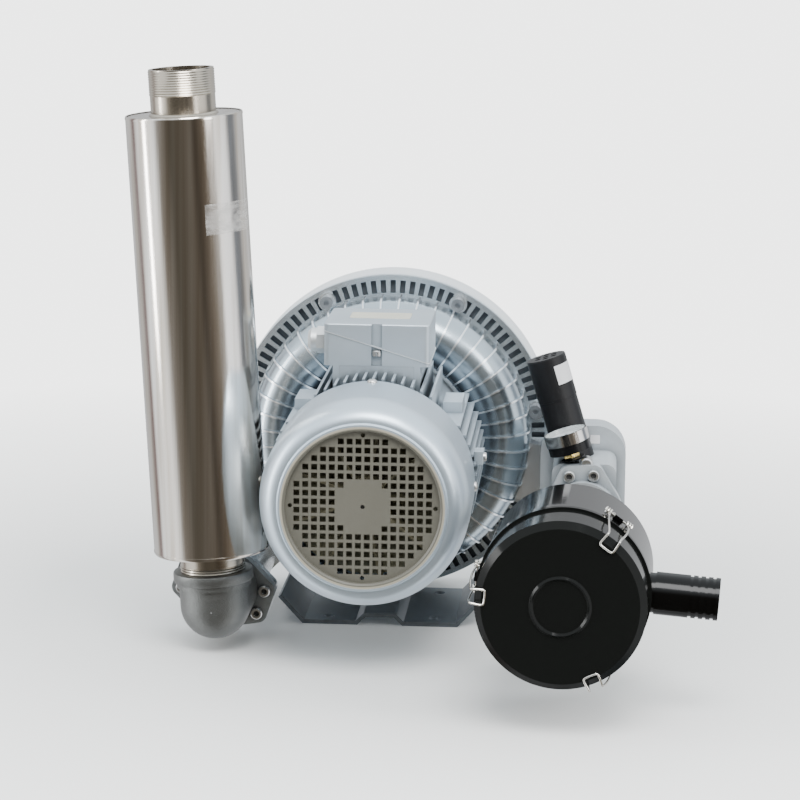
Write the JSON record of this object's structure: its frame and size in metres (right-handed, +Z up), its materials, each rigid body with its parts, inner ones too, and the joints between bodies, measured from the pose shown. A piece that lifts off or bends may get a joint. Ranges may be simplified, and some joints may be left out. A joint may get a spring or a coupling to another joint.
{
  "type": "side channel blower",
  "caption": "Side channel blower with finned motor, ribbed channel casing, upright discharge silencer, canister inlet filter, relief valve and gauge.",
  "frame": {"origin": "middle of the foot's four bolt holes, on the floor", "axes": "+Z up; +Y along the shaft from the fan cowl to the channel casing; +X to the inlet side"},
  "size_m": [0.5507, 0.5723, 0.5519],
  "materials": {
    "silver_paint": "satin",
    "cast_aluminium": "satin painted casting",
    "pale_shroud": "satin",
    "beige_paint": "satin",
    "machined_steel": "machined",
    "copper": "varnished",
    "fan_plastic": "matt",
    "plated": "nickel plated",
    "foot_paint": "satin",
    "grey_iron": "galvanised",
    "stainless": "polished",
    "mineral_wool": "fibrous",
    "black_gloss": "gloss",
    "black_plastic": "gloss",
    "black_matt": "matt",
    "filter_paper": "pleated",
    "brass": "turned",
    "spring_steel": "drawn",
    "clear_glass": "clear",
    "red_paint": "matt"
  },
  "bodies": {
    "blower": {"fan_cowl": "silver_paint", "fan_guard": "beige_paint", "end_shield": "cast_aluminium", "motor_frame": "cast_aluminium", "stator_core": "machined_steel", "front_winding": "copper", "rear_winding": "copper", "front_bearing": "machined_steel", "rear_bearing": "machined_steel", "terminal_box": "cast_aluminium", "terminal_lid": "cast_aluminium", "terminal_block": "black_plastic", "cable_gland": "plated", "gland_cap": "plated", "lifting_eye": "plated", "channel_casing": "cast_aluminium", "rear_cover": "cast_aluminium", "rear_shroud": "pale_shroud", "casing_bolt_1": "plated", "casing_bolt_2": "plated", "casing_bolt_3": "plated", "casing_bolt_4": "plated", "casing_bolt_5": "plated", "casing_bolt_6": "plated", "foot": "foot_paint", "foot_bolt_1": "plated", "foot_bolt_2": "plated", "outlet_flange": "cast_aluminium", "elbow": "grey_iron", "silencer_shell": "stainless", "silencer_pipe": "stainless", "silencer_packing": "mineral_wool", "inlet_plenum": "cast_aluminium", "inlet_flange": "cast_aluminium", "inlet_nipple": "stainless", "relief_body": "black_matt", "relief_spring": "spring_steel", "gauge_case": "black_plastic", "gauge_bezel": "plated", "gauge_glass": "clear_glass", "filter_lid": "black_gloss", "filter_can": "black_gloss", "hose_barb": "black_plastic", "filter_element": "filter_paper"},
    "rotor": {"shaft": "machined_steel", "rotor_core": "machined_steel", "cooling_fan": "fan_plastic", "impeller": "cast_aluminium", "impeller_nut": "machined_steel"},
    "poppet": {"relief_poppet": "brass"},
    "pointer": {"gauge_pointer": "red_paint"},
    "clip_1": {"wire_clip_1": "spring_steel"},
    "clip_2": {"wire_clip_2": "spring_steel"},
    "clip_3": {"wire_clip_3": "spring_steel"}
  },
  "joints": [
    {"name": "rotor_spin", "type": "hinge", "parent": "blower", "child": "rotor", "pos_m": [0, 0, 0.166], "axis": [0, 1, 0], "continuous": true},
    {"name": "relief_lift", "type": "slide", "parent": "blower", "child": "poppet", "axis": [-0.2924, 0, 0.9563], "range_m": [0, 0.006], "stiffness_N_per_m": 400, "springref_m": -0.012, "deforming": ["relief_spring"]},
    {"name": "pointer_turn", "type": "hinge", "parent": "blower", "child": "pointer", "pos_m": [0.17823, -0.05983, 0.19469], "axis": [-0.2924, 0, 0.9563], "range_deg": [-270, 0], "stiffness_Nm_per_rad": 0.0002},
    {"name": "clip_1_swing", "type": "hinge", "parent": "blower", "child": "clip_1", "pos_m": [0.23013, -0.36564, 0.18218], "axis": [-0.8134, 0.0341, 0.5807], "range_deg": [0, 110]},
    {"name": "clip_2_swing", "type": "hinge", "parent": "blower", "child": "clip_2", "pos_m": [0.21726, -0.3651, 0.04839], "axis": [0.9092, -0.0381, 0.4147], "range_deg": [0, 110]},
    {"name": "clip_3_swing", "type": "hinge", "parent": "blower", "child": "clip_3", "pos_m": [0.10793, -0.36052, 0.12644], "axis": [-0.0958, 0.004, -0.9954], "range_deg": [0, 110]}
  ]
}
